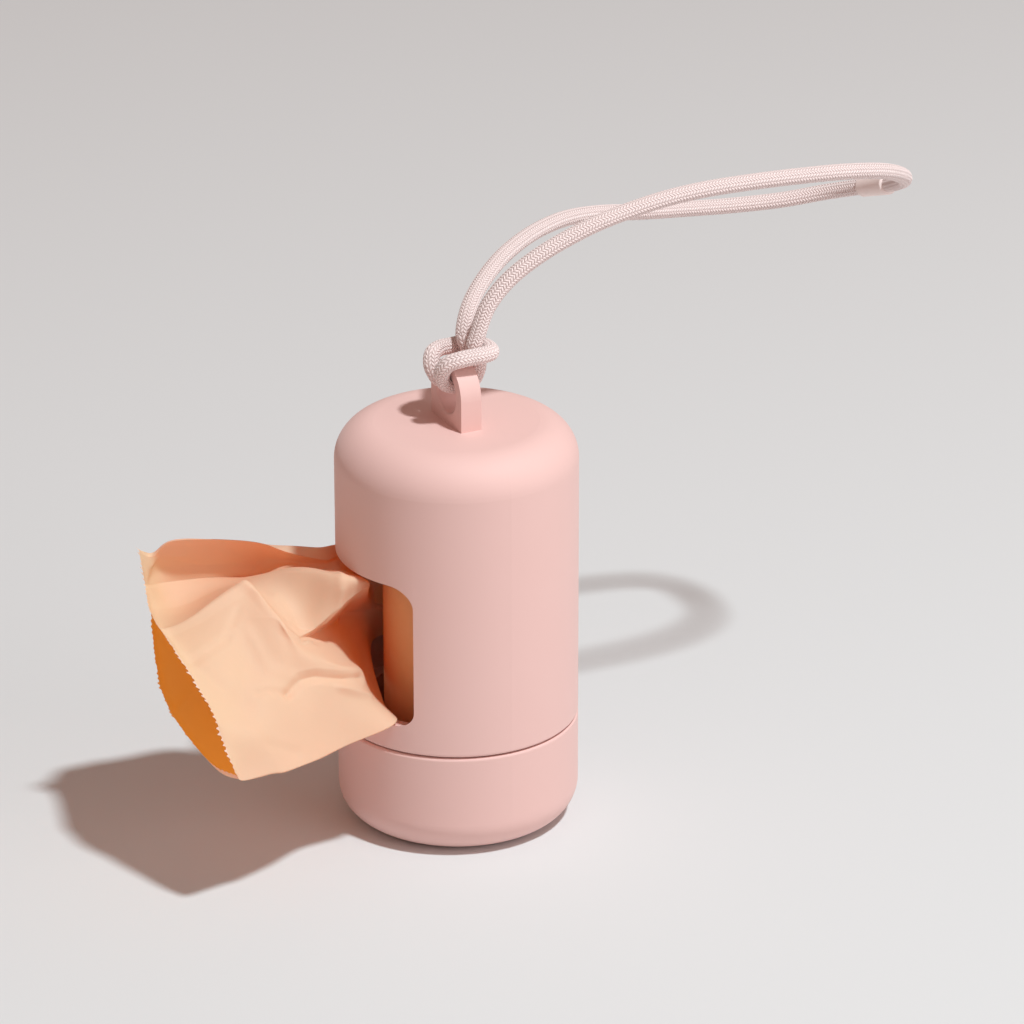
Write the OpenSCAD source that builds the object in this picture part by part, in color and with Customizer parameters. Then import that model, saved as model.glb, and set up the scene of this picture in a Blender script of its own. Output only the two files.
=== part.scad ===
// Capsule dispenser for pet waste bags: a casing with a window and a lug, a base cap that
// screws on, a roll of bags on its core, the bag that is drawn out, and a cord lanyard.
// The origin is the middle of the underside, +Z is up and the window faces -Y.

/* [Casing] */
// Outer diameter of the casing and of the base cap
body_d = 44; // [40:0.5:60]
// Height of the flat top above the base
body_h = 76.6; // [72:0.2:100]
// Wall of the casing
wall = 2.2; // [1.6:0.1:2.6]
// Rounding where the side turns into the top
top_round = 7; // [4:0.5:10]
// Height at which the casing meets the cap
seam_z = 20; // [18:0.2:24]
// Gap that shows as the seam line
seam_gap = 0.3; // [0.2:0.1:0.8]
// Rounding of the two edges at the seam
seam_round = 0.5; // [0.2:0.1:0.6]

/* [Window] */
// Width of the window that the bags come out of
window_w = 30; // [24:0.5:32]
// Height of the window
window_h = 27.2; // [22:0.2:34]
// Height of the window's lower edge above the seam
window_lift = 5.2; // [4.4:0.2:9]
// Rounding of the window's two upper corners
window_top_r = 4; // [2:0.5:8]
// Rounding of the window's two lower corners
window_low_r = 3; // [2:0.5:8]

/* [Lug] */
// Width of the lug that the lanyard is hitched to
lug_w = 12.2; // [11.4:0.2:16]
// Thickness of the lug
lug_t = 4; // [3:0.2:4.2]
// Height of the hole's axis above the top
lug_rise = 5.7; // [5.4:0.1:8]
// Diameter of the hole through the lug
lug_hole_d = 7.6; // [7.6:0.1:8.4]
// Softened rim of the hole, on both faces
lug_hole_soft = 0.4; // [0.2:0.1:0.8]

/* [Base cap] */
// Wall of the cap's cup
cap_wall = 1.7; // [1.4:0.1:2]
// Thickness of the cap's floor
cap_floor = 2.4; // [1.6:0.1:3]
// Rounding of the cap's lower edge
base_round = 6.4; // [4:0.2:8]

/* [Thread] */
// How far the casing's neck reaches down into the cap
neck_len = 7.6; // [6.6:0.2:9]
// Wall of the neck
neck_wall = 1.8; // [1.4:0.1:2]
// Space between the neck's thread and the wall of the cup
thread_gap = 0.3; // [0.25:0.05:0.5]
// How far each thread stands out
thread_depth = 0.8; // [0.5:0.1:0.9]
// Rise of the thread in one turn
thread_pitch = 3; // [2.6:0.1:3.2]
// Turns of thread on the neck, and again in the cup
thread_turns = 1.25; // [1:0.25:1.5]
// Width of a thread where it meets its wall
thread_foot = 1.2; // [0.8:0.1:1.4]
// Width of a thread at its crest
thread_crest = 0.6; // [0.4:0.1:0.8]

/* [Seal ring] */
// Height of the flat rubber ring in the cap's rim
seal_h = 1.1; // [0.8:0.1:1.4]
// Width of the ring's section
seal_w = 0.9; // [0.7:0.1:1]
// Room around the ring in its seat
seal_fit = 0.05; // [0.03:0.01:0.1]

/* [Roll of bags] */
// Length of the roll, which is the folded width of a bag
roll_h = 60; // [56:0.5:62]
// Diameter of the wound film
roll_d = 27; // [22:0.5:30]
// Outer diameter of the cardboard core
core_d = 17; // [14:0.5:19]
// Bore of the core
core_bore = 14; // [11:0.5:16]
// How far the film stops short of each end of the core
film_short = 0.5; // [0.2:0.1:1]
// Play of the roll between its two seats, at each end
end_play = 0.3; // [0.2:0.05:0.6]
// Room between the core's bore and the spigots that it turns on
spigot_fit = 0.25; // [0.15:0.05:0.4]
// Length of each spigot inside the core
spigot_len = 6; // [4:0.5:10]
// Wall of the spigots
spigot_wall = 1.7; // [1.2:0.1:2.4]
// Width of the seat ring round the foot of each spigot
seat_w = 2.2; // [1.6:0.1:3]

/* [Drawn bag] */
// Distance from the casing's axis to the torn edge
bag_reach = 55; // [50:1:64]
// Chord of the open mouth, as a share of the folded width
mouth_share = 0.84; // [0.8:0.01:0.88]
// Tilt of the mouth's chord
mouth_tilt = -33; // [-38:1:-28]
// Depth of the dent under the top fold, at its deepest
dent = 6; // [4:0.5:7]
// Thickness that stands for the film and its folds
film_t = 0.8; // [0.6:0.1:1.2]
// Room between the drawn bag and what it passes
film_gap = 0.35; // [0.3:0.05:0.8]

/* [Lanyard] */
// Diameter of the braided cord
cord_d = 3; // [2.8:0.1:3]
// Diameter of the cord where the hitch pulls it tight
hitch_d = 2.6; // [2.4:0.1:2.6]
// Diameter of the sleeve that joins the cord's two ends
sleeve_d = 3.9; // [3.6:0.1:4.6]
// Length of the sleeve
sleeve_len = 9; // [7:0.2:9.4]

/* [Hidden] */
$fn = 96;
eps = 0.01;
far = 200;

body_r = body_d / 2;
inner_r = body_r - wall;
inner_top = body_h - wall;

// The cap and its thread
cap_h = seam_z - seam_gap / 2;
shoulder_z = seam_z + seam_gap / 2;
cup_r = body_r - cap_wall;
neck_crest_r = cup_r - thread_gap;
neck_r = neck_crest_r - thread_depth;
neck_bore_r = neck_r - neck_wall;
neck_z = shoulder_z - neck_len;
shoulder_h = 1.8;
sink = 0.4;
thread_steps = 32;
neck_thread_z = neck_z + thread_foot / 2 + 0.3;
cup_thread_z = neck_thread_z - thread_pitch / 2;
seat_depth = seal_h - 0.15;
seal_r = cup_r + seal_w - seal_fit;

// The roll, held half way between the floor and the top
roll_r = roll_d / 2;
roll_z = (cap_floor + inner_top - roll_h) / 2;
roll_top = roll_z + roll_h;
spigot_r = core_bore / 2 - spigot_fit;
spigot_bore_r = spigot_r - spigot_wall;
seat_r = spigot_r + seat_w;

// The window
window_z = seam_z + window_lift;
window_mid = window_z + window_h / 2;

// The lug
lug_z = body_h + lug_rise;
lug_root = 1;

// The drawn bag, from the torn mouth to the casing. Each row goes once round the tube of film:
// top, lip, two points down the dent to its valley, shelf, six down the front to the bottom
// fold, and four up the back. A point is [x, distance beyond the casing, height over film_mid].
// The rows are drawn for the net_ values and follow the film when those sizes change.
mouth_half = roll_h * mouth_share / 2;
half_w = window_w / 2;
half_h = window_h / 2;
film_mid = window_mid + 0.2;
tail_x = -(roll_r + film_gap + film_t / 2);
tail_half = half_h - 5.4;
net_reach = 33;
net_dent = 6;
net_mouth = 25.2;
net_tilt = -33;
net_w = 15;
net_h = 13.6;
film_rows = [
    [[-19, 30, 14], [-17, 33, 16.5], [-17, 32.5, 13], [-17, 32, 9.5], [-12, 33.5, 7.5], [-3, 36, 8.5],
     [4, 36, 7], [10, 34.5, 2.5], [15.5, 33.5, -1.5], [19, 33, -6], [22.5, 32, -11.5],
     [15, 34, -11.5], [-3, 34, -8.5], [-13.5, 32, -2.5], [-24, 28, 8.5]],
    [[-20, 28.5, 14], [-17.5, 30.5, 14.5], [-17.5, 31, 11.5], [-17.5, 31, 9], [-13.5, 31.5, 6],
     [-3, 34, 6.5], [4, 34, 5.5], [10, 33, 2], [15.5, 32.5, -2], [19, 31.5, -6], [22, 30.5, -13],
     [14.5, 32, -13.5], [-4, 31.5, -9.5], [-15, 30, -3.5], [-25, 26, 7.5]],
    [[-21, 25, 14.5], [-18, 26.5, 16.5], [-21, 27, 11], [-21.5, 26, 7], [-16, 25.5, 4.5],
     [-2.5, 29, 8], [4, 29, 4.5], [9.5, 27.5, 1], [14, 27.5, -2.5], [18, 26.5, -7],
     [20.5, 24.5, -13.5], [12, 25.5, -14.5], [-6, 26, -10], [-19, 23.5, -2], [-25.5, 21.5, 6]],
    [[-21, 18, 13.5], [-18, 19, 15.5], [-21.5, 17, 9.5], [-22, 17.5, 6], [-15, 17, 7], [-2, 19.5, 13],
     [4.5, 23, 9], [9.5, 23, 2.5], [13, 22.5, -1.5], [16, 22, -7.5], [18.5, 20.5, -15], [9, 19, -15],
     [-8, 19, -9], [-21, 15.5, -1], [-25.5, 15, 5.5]],
    [[-22, 8, 10.5], [-18, 9.5, 13], [-22, 7.5, 8], [-22, 9, 4.5], [-11, 11.5, 9.5], [2, 16, 9.5],
     [6, 17, 9], [9, 16, 3], [11, 15.5, -1.5], [13.5, 15.5, -7.5], [16, 14, -15.5], [6, 12.5, -14.5],
     [-10, 10.5, -8], [-21, 7.5, 0], [-25, 7, 5.5]],
    [[-19, 2.5, 10.5], [-16.5, 4, 10.5], [-18, 3, 8], [-16.5, 4, 7.5], [-3, 7, 12.5], [3, 9.5, 4],
     [7, 13, 4.5], [8.5, 10, 1.5], [10, 8.5, -2], [12, 9, -7.5], [13.5, 7, -15], [3, 5.5, -14],
     [-11, 3, -7.5], [-17, 2.5, 2.5], [-20.5, 2, 6.5]],
    [[-14, -1, 11.5], [-12.5, -1.5, 9.5], [-13, -1.5, 8.5], [-11.5, -1.5, 7.5], [3.5, 2.5, 13.5],
     [4, 3, 8], [-9, -1.5, -1.5], [5, 3.5, -2], [7, 1, -4], [9, 0.5, -8.5], [12.5, -3.5, -13],
     [1, -1.5, -12.5], [-11, -2.5, -8], [-14, -2.5, 1], [-14.5, -3, 7.5]],
    [[-14, -5.5, 11], [-13, -5, 9.5], [-13, -5.5, 8.5], [-11, -4.5, 7.5], [1, -3.5, 10.5],
     [2, -3, 9.5], [-11, -4, -1], [-7, -4, -5], [-3, -4, -8], [1, -4.5, -10.5], [4, -5, -12.5],
     [-4, -5.5, -11.5], [-12, -6, -7.5], [-14, -6.5, -1], [-14, -6.5, 6]]
];
// The hollow of the mouth ends at this row. Under the lip it goes straight across, from one
// point of a finer row to the other.
hollow_rows = 4;
lip_from = 28;
lip_to = 6;

// The cord's route, in millimetres from the middle of the lug's hole: from the hitch, out
// and round the far end, through the sleeve and back to the hitch
loop_route = [
    [1.6, 3.4, 10.4], [1.8, 5.4, 15.6], [2.1, 9.2, 20], [2.8, 14.6, 23.8], [3.6, 21.2, 27],
    [4.4, 28, 29.4], [5.2, 38, 31.5], [5.7, 47, 32.3], [6.3, 57, 32.4], [6.5, 67, 32],
    [6.2, 76, 31.2], [4.2, 84.6, 29.3], [0.4, 90.8, 26.4], [-5.2, 94.8, 23], [-12.6, 96.2, 19.6],
    [-21.4, 95.4, 16.4], [-28.2, 91.6, 13.8], [-32, 84, 12.2], [-33.6, 74, 12.2], [-33.4, 64, 13.2],
    [-31.4, 53.4, 15], [-28.8, 44, 17.2], [-25.4, 35, 18.7], [-20.6, 26.4, 19.2],
    [-15.4, 18.6, 18.7], [-10.8, 12.4, 17.4], [-6.8, 7.2, 15], [-4, 4.2, 12.6], [-2.1, 2.6, 9.6]
];
sleeve_at = 14;
loop_rings = 46;
sleeve_fit = 0.12;

// The hitch, from strand to strand: down behind the lug, through the hole, round both
// strands above the lug, and back through the hole
hitch_route = [
    [1.6, 3.4, 10.4], [1.5, 2.85, 8.6], [1.4, 3.1, 7.2], [1.4, 3.6, 5.8], [1.45, 3.65, 4],
    [1.45, 2.9, 2.3], [1.45, 1.2, 1.6], [1.45, -1.2, 1.6], [1.45, -2.9, 2.3], [1.7, -3.65, 3.8],
    [2.3, -3.75, 5.3], [3.2, -3, 6.8], [4, -1.2, 7.5], [4.25, 0.9, 7.7], [4.25, 3.1, 7.7],
    [3.3, 5.3, 7.6], [0.2, 6.1, 7.3], [-3.2, 5.3, 7.1], [-4.3, 3.1, 7], [-4.4, 0.9, 6.9],
    [-4.2, -1.2, 6.9], [-3.3, -3, 6.5], [-2.3, -3.75, 5.1], [-1.7, -3.65, 3.7],
    [-1.45, -2.9, 2.3], [-1.45, -1.2, 1.6], [-1.45, 1.2, 1.6], [-1.45, 2.9, 2.3],
    [-1.45, 3.65, 4], [-1.4, 3.6, 5.8], [-1.45, 3.05, 7.4], [-2.1, 2.6, 9.6]
];
cord_sides = 8;

function unit(v) = v / norm(v);

// One point of a smooth curve through the route p, a share t of the way along stretch i
function curve_point(p, i, t) =
    let (last = len(p) - 1,
         b = p[i],
         c = p[min(i + 1, last)],
         a = i > 0 ? p[i - 1] : 2 * b - c,
         d = i + 2 <= last ? p[i + 2] : 2 * c - b)
    0.5 * (2 * b + (c - a) * t + (2 * a - 5 * b + 4 * c - d) * t * t
           + (3 * b - a - 3 * c + d) * t * t * t);

// A point at any place along the route, where 2.5 is half way from the third to the fourth
function along(p, u) = curve_point(p, floor(u), u - floor(u));

// The tangent at each of a list of points
function tangents(c) =
    [for (i = [0 : len(c) - 1]) unit(c[min(i + 1, len(c) - 1)] - c[max(i - 1, 0)])];

// A side direction carried along the tangents without twisting
function carried(t, first) =
    [for (i = 0, s = first; i < len(t);
          i = i + 1,
          s = i < len(t) ? unit(s - (s * t[i]) * t[i]) : s) s];

// A round tube along a list of points, closed at both ends
module tube(c, r) {
    n = cord_sides;
    t = tangents(c);
    first = unit(cross(t[0], abs(t[0][2]) < 0.9 ? [0, 0, 1] : [1, 0, 0]));
    s = carried(t, first);
    rings = len(c);
    points = [for (i = [0 : rings - 1], k = [0 : n - 1])
        let (side = unit(s[i] - (s[i] * t[i]) * t[i]), up = cross(t[i], side))
        c[i] + r * (cos(360 * k / n) * side + sin(360 * k / n) * up)];
    faces = concat(
        [[for (k = [0 : n - 1]) k]],
        [for (i = [0 : rings - 2], k = [0 : n - 1])
            let (a = i * n + k, b = i * n + (k + 1) % n)
            [b, a, a + n]],
        [for (i = [0 : rings - 2], k = [0 : n - 1])
            let (a = i * n + k, b = i * n + (k + 1) % n)
            [b, a + n, b + n]],
        [[for (k = [n - 1 : -1 : 0]) (rings - 1) * n + k]]);
    polyhedron(points = points, faces = faces, convexity = 8);
}

// Half of the outline of a solid of revolution: a block with one rounded outer corner
module round_block(r, z0, z1, round, at_top) {
    edge = at_top ? z1 - round : z0 + round;
    translate([0, z0]) square([r - round, z1 - z0]);
    translate([0, at_top ? z0 : edge]) square([r, z1 - z0 - round]);
    translate([r - round, edge]) circle(r = round);
}

// A corner at the seam, cut back to a small rounding
module seam_corner(z, up) {
    difference() {
        translate([body_r - seam_round, up > 0 ? z - eps : z - seam_round])
            square([seam_round + eps, seam_round + eps]);
        translate([body_r - seam_round, z + up * seam_round]) circle(r = seam_round);
    }
}

// One helical ridge: foot sunk into the wall at foot_r, crest at crest_r
module thread_ridge(foot_r, crest_r, z0) {
    n = round(thread_steps * thread_turns);
    out = crest_r > foot_r ? 1 : -1;
    back_r = foot_r - out * sink;
    points = [for (i = [0 : n])
        let (a = 360 * thread_turns * i / n,
             z = z0 + thread_pitch * thread_turns * i / n,
             grow = min(1, i / 3, (n - i) / 3),
             tip_r = foot_r + (crest_r - foot_r) * max(grow, 0.05))
        each [for (q = [[back_r, -thread_foot / 2], [tip_r, -thread_crest / 2],
                        [tip_r, thread_crest / 2], [back_r, thread_foot / 2]])
            [q[0] * cos(a), q[0] * sin(a), z + q[1]]]];
    side = out > 0 ? [3, 2, 1, 0] : [0, 1, 2, 3];
    faces = concat(
        [[for (k = [0 : 3]) side[k]]],
        [for (i = [0 : n - 1], k = [0 : 3])
            let (a = 4 * i + side[k], b = 4 * i + side[(k + 1) % 4]) [b, a, a + 4]],
        [for (i = [0 : n - 1], k = [0 : 3])
            let (a = 4 * i + side[k], b = 4 * i + side[(k + 1) % 4]) [b, a + 4, b + 4]],
        [[for (k = [3 : -1 : 0]) 4 * n + side[k]]]);
    polyhedron(points = points, faces = faces, convexity = 6);
}

// The window's outline, drawn with its width along X
module window_shape() {
    low = window_low_r;
    top = window_top_r;
    difference() {
        translate([-half_w, -half_h]) square([window_w, window_h]);
        for (s = [-1, 1]) {
            translate([s * (half_w - top), half_h - top]) corner_cut(s, 1, top);
            translate([s * (half_w - low), low - half_h]) corner_cut(s, -1, low);
        }
    }
}

module corner_cut(sx, sy, r) {
    difference() {
        translate([sx > 0 ? 0 : -r - 1, sy > 0 ? 0 : -r - 1]) square(r + 1);
        circle(r = r);
    }
}

// Tube with a seat ring at its foot: the core turns on it
module spigot_outline(z0, seat_end, tip, dir) {
    difference() {
        union() {
            translate([0, min(z0, seat_end)]) square([seat_r, abs(seat_end - z0)]);
            translate([0, min(z0, tip)]) square([spigot_r, abs(tip - z0)]);
        }
        translate([0, min(z0, tip) - (dir < 0 ? 1 : 0)]) square([spigot_bore_r, abs(tip - z0) + 1]);
    }
}

module lug_outline() {
    translate([-lug_w / 2, -lug_rise - lug_root]) square([lug_w, lug_rise + lug_root]);
    circle(d = lug_w);
}

// Softened rim of the lug's hole, as a cutter round the hole's axis
module lug_hole() {
    r = lug_hole_d / 2;
    cylinder(r = r, h = lug_t + 2, center = true);
    for (s = [0, 1]) mirror([0, 0, s])
        translate([0, 0, lug_t / 2 - lug_hole_soft])
            rotate_extrude() difference() {
                square([r + lug_hole_soft, lug_hole_soft + 1]);
                translate([r + lug_hole_soft, 0]) circle(r = lug_hole_soft);
            }
}

module casing_shell() {
    color("#d9a79e") {
        difference() {
            union() {
                rotate_extrude() difference() {
                    union() {
                        round_block(body_r, shoulder_z, body_h, top_round, true);
                        translate([0, neck_z]) square([neck_r, neck_len + 1]);
                    }
                    round_block(inner_r, shoulder_z + shoulder_h, inner_top, top_round - wall, true);
                    translate([0, neck_z - 1]) square([neck_bore_r, neck_len + shoulder_h + 2]);
                    seam_corner(shoulder_z, 1);
                }
                translate([0, 0, lug_z]) rotate([90, 0, 0])
                    linear_extrude(height = lug_t, center = true) lug_outline();
            }
            translate([0, 0, lug_z]) rotate([90, 0, 0]) lug_hole();
            translate([0, 0, window_mid]) rotate([90, 0, 0])
                linear_extrude(height = body_d) window_shape();
        }
        rotate_extrude() spigot_outline(inner_top + eps, roll_top + end_play, roll_top - spigot_len, -1);
        thread_ridge(neck_r, neck_crest_r, neck_thread_z);
    }
}

module base_cap() {
    color("#dcaaa1") {
        rotate_extrude() difference() {
            round_block(body_r, 0, cap_h, base_round, false);
            round_block(cup_r, cap_floor, far, base_round - cap_wall, false);
            translate([0, cap_h - seat_depth]) square([cup_r + seal_w, far]);
            seam_corner(cap_h, -1);
        }
        rotate_extrude() spigot_outline(cap_floor - eps, roll_z - end_play, roll_z + spigot_len, 1);
        thread_ridge(cup_r, neck_r + thread_gap, cup_thread_z);
    }
}

module cap_seal_ring() {
    color("#b98078")
    translate([0, 0, cap_h - seat_depth + seal_fit]) difference() {
        cylinder(r = seal_r, h = seal_h);
        translate([0, 0, -1]) cylinder(r = seal_r - seal_w + seal_fit, h = seal_h + 2);
    }
}

module roll_core() {
    color("#b99a74")
    translate([0, 0, roll_z]) difference() {
        cylinder(d = core_d, h = roll_h);
        translate([0, 0, -1]) cylinder(d = core_bore, h = roll_h + 2);
    }
}

module bag_roll() {
    color("#e9a878")
    translate([0, 0, roll_z + film_short]) difference() {
        cylinder(d = roll_d, h = roll_h - 2 * film_short);
        translate([0, 0, -1]) cylinder(r = core_d / 2 + 0.05, h = roll_h + 2);
    }
}

// Where a point of the film lies: it turns and spreads with the mouth, and inside the window
// with the window
function film_at(p, sag) =
    let (share = max(0, min(1, p[1] / net_reach)),
         wide = (1 - share) * half_w / net_w + share * mouth_half / net_mouth,
         tall = (1 - share) * half_h / net_h + share * mouth_half / net_mouth,
         turn = (mouth_tilt - net_tilt) * share,
         x = p[0] * wide - sag * share,
         z = p[2] * tall - sag * share,
         out = p[1] > 0 ? p[1] * (bag_reach - body_r) / net_reach : p[1])
    [x * cos(turn) - z * sin(turn), -body_r - out, film_mid + x * sin(turn) + z * cos(turn)];

// The tail at the roll's side is a flat tube: front points down, back points up
function tail_ring(y) =
    [for (k = [0 : 14])
        let (up = k <= 10 ? 1 - k / 5 : (k - 10) / 2.5 - 1,
             bulge = k <= 10 ? sin(18 * k) : -sin(36 * (k - 10)))
        [tail_x + bulge * film_t / 2, -y, film_mid - 1.2 + up * tail_half]];

// One point between b and c on a smooth curve through four
function between(a, b, c, d, t) =
    0.5 * (2 * b + (c - a) * t + (2 * a - 5 * b + 4 * c - d) * t * t
           + (3 * b - a - 3 * c + d) * t * t * t);

// Each row with a point added between every two, and a row added between every two rows. The
// tail's last stretch stays straight.
function finer_ring(r) =
    let (n = len(r))
    [for (i = [0 : n - 1])
        each [r[i], between(r[(i + n - 1) % n], r[i], r[(i + 1) % n], r[(i + 2) % n], 0.5)]];

function finer_rows(rows) =
    let (last = len(rows) - 1)
    [for (i = [0 : last])
        each i == last ? [rows[i]] :
            [rows[i],
             [for (k = [0 : len(rows[i]) - 1])
                 i == last - 1
                     ? (rows[i][k] + rows[last][k]) / 2
                     : between(rows[max(0, i - 1)][k], rows[i][k],
                               rows[i + 1][k], rows[i + 2][k], 0.5)]]];

// A row moved into the tube by the thickness of its wall. Under the lip it goes straight
// across from the back top, at lip_from, to the valley, at lip_to.
function inner_ring(r, by) =
    let (n = len(r),
         moved = [for (i = [0 : n - 1])
             let (step = r[(i + 1) % n] - r[(i + n - 1) % n])
             r[i] + by * unit([step[2], 0, -step[0]])],
         span = n - lip_from + lip_to)
    [for (i = [0 : n - 1])
        let (s = (i + n - lip_from) % n)
        s < span
            ? moved[lip_from] + (moved[lip_to] - moved[lip_from]) * s / span
              + [0, 0, film_t / 2 * sin(180 * s / span)]
            : moved[i]];

// Triangles across the end of a tube, from its front half to its back half
function end_faces(first, n) =
    let (pairs = n / 3)
    [for (j = [0 : pairs - 1])
        let (a = first + 2 * j,
             b = first + (n - j) % n,
             c = first + n - j - 1)
        each concat([[a, a + 1, c]],
                    j < pairs - 1 ? [[a + 1, a + 2, c]] : [],
                    j > 0 ? [[a, c, b]] : [])];

// A tube closed at its last row, with a hollow from its first row to the last inner row
module film_shell(rows, inside) {
    n = len(rows[0]);
    last = len(rows) - 1;
    end = len(inside) - 1;
    base = len(rows) * n;
    points = [for (r = concat(rows, inside)) each r];
    faces = concat(
        [for (i = [0 : last - 1], k = [0 : n - 1])
            let (a = i * n + k, b = i * n + (k + 1) % n)
            each [[b, a, a + n], [b, a + n, b + n]]],
        [for (i = [0 : end - 1], k = [0 : n - 1])
            let (a = base + i * n + k, b = base + i * n + (k + 1) % n)
            each [[a, b, a + n], [a + n, b, b + n]]],
        [for (k = [0 : n - 1])
            let (m = (k + 1) % n)
            each [[k, m, base + m], [k, base + m, base + k]]],
        [for (f = end_faces(last * n, n)) [f[2], f[1], f[0]]],
        end_faces(base + end * n, n));
    polyhedron(points = points, faces = faces, convexity = 10);
}

module drawn_bag() {
    outer = [for (r = film_rows)
        [for (k = [0 : len(r) - 1]) film_at(r[k], k == 2 || k == 3 ? dent - net_dent : 0)]];
    all_rows = concat(outer, [tail_ring(roll_r - 3), tail_ring(1)]);
    rows = finer_rows([for (r = all_rows) finer_ring(r)]);
    color("#f0b98c")
    film_shell(rows, [for (i = [0 : 2 * hollow_rows]) inner_ring(rows[i], film_t)]);
}

module lanyard_hitch() {
    color("#efc9c2") translate([0, 0, lug_z]) tube(hitch_route, hitch_d / 2);
}

module lanyard_loop() {
    last = len(loop_route) - 1;
    rings = [for (i = [0 : loop_rings]) along(loop_route, last * i / loop_rings)];
    color("#f1cdc6") translate([0, 0, lug_z]) tube(rings, cord_d / 2);
}

// The sleeve lies along the straight stretch that starts at point sleeve_at of the route
module lanyard_sleeve() {
    a = loop_route[sleeve_at];
    d = loop_route[sleeve_at + 1] - a;
    turn = atan2(d[1], d[0]);
    lean = acos(d[2] / norm(d));
    color("#e8bfb8")
    translate([0, 0, lug_z] + a + d / 2) rotate([0, lean, turn]) difference() {
        cylinder(d = sleeve_d, h = sleeve_len, center = true);
        cylinder(d = cord_d + 2 * sleeve_fit, h = sleeve_len + 2, center = true);
    }
}

casing_shell();
base_cap();
cap_seal_ring();
roll_core();
bag_roll();
drawn_bag();
lanyard_hitch();
lanyard_loop();
lanyard_sleeve();
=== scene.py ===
# %% [markdown]
# # A capsule dispenser for pet waste bags
#
# This lesson dresses a dispenser whose solids are already made. A moulded casing with a window
# stands on a screwed base cap. A thin bag is half drawn out of the window, and a braided cord is
# hitched to the lug on top. Each step says what the real piece is, how it could be made, and why
# it is made this way.

# %% Load the solids
import math
from itertools import accumulate

import bmesh
import bpy
from mathutils import Matrix, Vector, noise


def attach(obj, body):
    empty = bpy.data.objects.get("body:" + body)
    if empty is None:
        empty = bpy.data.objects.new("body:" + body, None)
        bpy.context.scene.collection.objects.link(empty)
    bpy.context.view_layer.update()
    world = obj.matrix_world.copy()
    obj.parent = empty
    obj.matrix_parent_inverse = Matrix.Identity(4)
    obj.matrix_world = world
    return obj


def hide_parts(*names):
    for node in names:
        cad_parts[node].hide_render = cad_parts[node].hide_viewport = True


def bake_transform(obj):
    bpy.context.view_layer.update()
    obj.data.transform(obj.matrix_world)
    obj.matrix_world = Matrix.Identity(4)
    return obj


MM = 0.001
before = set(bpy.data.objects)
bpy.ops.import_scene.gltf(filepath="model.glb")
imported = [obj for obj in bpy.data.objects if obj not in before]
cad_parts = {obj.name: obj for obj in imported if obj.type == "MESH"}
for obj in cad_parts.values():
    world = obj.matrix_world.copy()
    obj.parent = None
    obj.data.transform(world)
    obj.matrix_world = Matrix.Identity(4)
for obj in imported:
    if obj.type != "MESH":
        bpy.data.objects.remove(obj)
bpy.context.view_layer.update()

# %% [markdown]
# ## The camera
#
# A small product is usually pictured with a long lens from about a metre away, which keeps its
# upright sides nearly parallel. A Track To constraint could aim the camera, but a matrix made
# from its own three directions leaves every angle open to small changes. It looks down at the
# dispenser from its right, so the window shows at its left. Three small turns after the aim move
# the casing's axis a little off the middle of the picture.

# %% Choose the view
AIM = Vector((0, 0, 45)) * MM
DISTANCE = 965.9 * MM
AZIMUTH, ELEVATION = math.radians(64), math.radians(23.85)
ROLL, PITCH, YAW = math.radians(0.335), math.radians(-0.747), math.radians(0.593)
back = Vector((math.cos(ELEVATION) * math.sin(AZIMUTH), -math.cos(ELEVATION) * math.cos(AZIMUTH),
               math.sin(ELEVATION)))
right = Vector((math.cos(AZIMUTH), math.sin(AZIMUTH), 0))
aimed = Matrix((right, back.cross(right), back))
small_turns = (Matrix.Rotation(ROLL, 3, "Z") @ Matrix.Rotation(PITCH, 3, "X")
               @ Matrix.Rotation(YAW, 3, "Y"))
turned = small_turns @ aimed
print("the camera looks from", [round(v, 3) for v in back])

# %% Place the camera
LENS, SENSOR = 187.35, 36
PICTURE = 1024
lens = bpy.data.cameras.new("camera")
lens.lens = LENS
lens.sensor_width = SENSOR
camera = bpy.data.objects.new("camera", lens)
camera.matrix_world = Matrix.Translation(AIM + DISTANCE * back) @ turned.transposed().to_4x4()
bpy.context.scene.collection.objects.link(camera)
bpy.context.scene.camera = camera
bpy.context.scene.view_settings.view_transform = "Standard"


def picture_point(point_mm):
    """Where a point falls in the square picture, in pixels."""
    q = camera.matrix_world.inverted() @ (Vector(point_mm) * MM)
    scale = PICTURE * LENS / SENSOR
    return round(PICTURE / 2 + scale * q.x / -q.z, 1), round(PICTURE / 2 - scale * q.y / -q.z, 1)


for part, height in (("foot", 0), ("top", 76.6), ("lug", 88.4)):
    print(part, "falls at", picture_point((0, 0, height)))

# %% [markdown]
# ## The floor
#
# The dispenser stands on plain matt paper. A curved backdrop would do too, but the camera looks
# down so steeply that no horizon shows, and one flat sheet is enough. It lies a hair under the
# dispenser, so that no two surfaces share one place.

# %% Mix the floor's matt paper
def set_values(made, **values):
    """Set a node's sockets or its properties by name."""
    for name, value in values.items():
        label = name.replace("_", " ")
        if label in made.inputs:
            made.inputs[label].default_value = value
        else:
            setattr(made, name, value)
    return made


def node(tree, kind, **values):
    """A new shader node with its values set."""
    return set_values(tree.nodes.new(kind), **values)


def material(name, slot_color, **values):
    """A material with one Principled shader, whose values are set by name."""
    mat = bpy.data.materials.new(name)
    mat.use_nodes = True
    mat.node_tree.nodes.clear()
    out = node(mat.node_tree, "ShaderNodeOutputMaterial")
    shader = node(mat.node_tree, "ShaderNodeBsdfPrincipled", Base_Color=(*slot_color, 1), **values)
    mat.node_tree.links.new(shader.outputs[0], out.inputs["Surface"])
    print("material", name)
    return mat, mat.node_tree, shader, out


PAPER = (0.725, 0.725, 0.725)
floor_mat = material("floor_paper", PAPER, Roughness=0.9, Specular_IOR_Level=0.1)[0]

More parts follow.
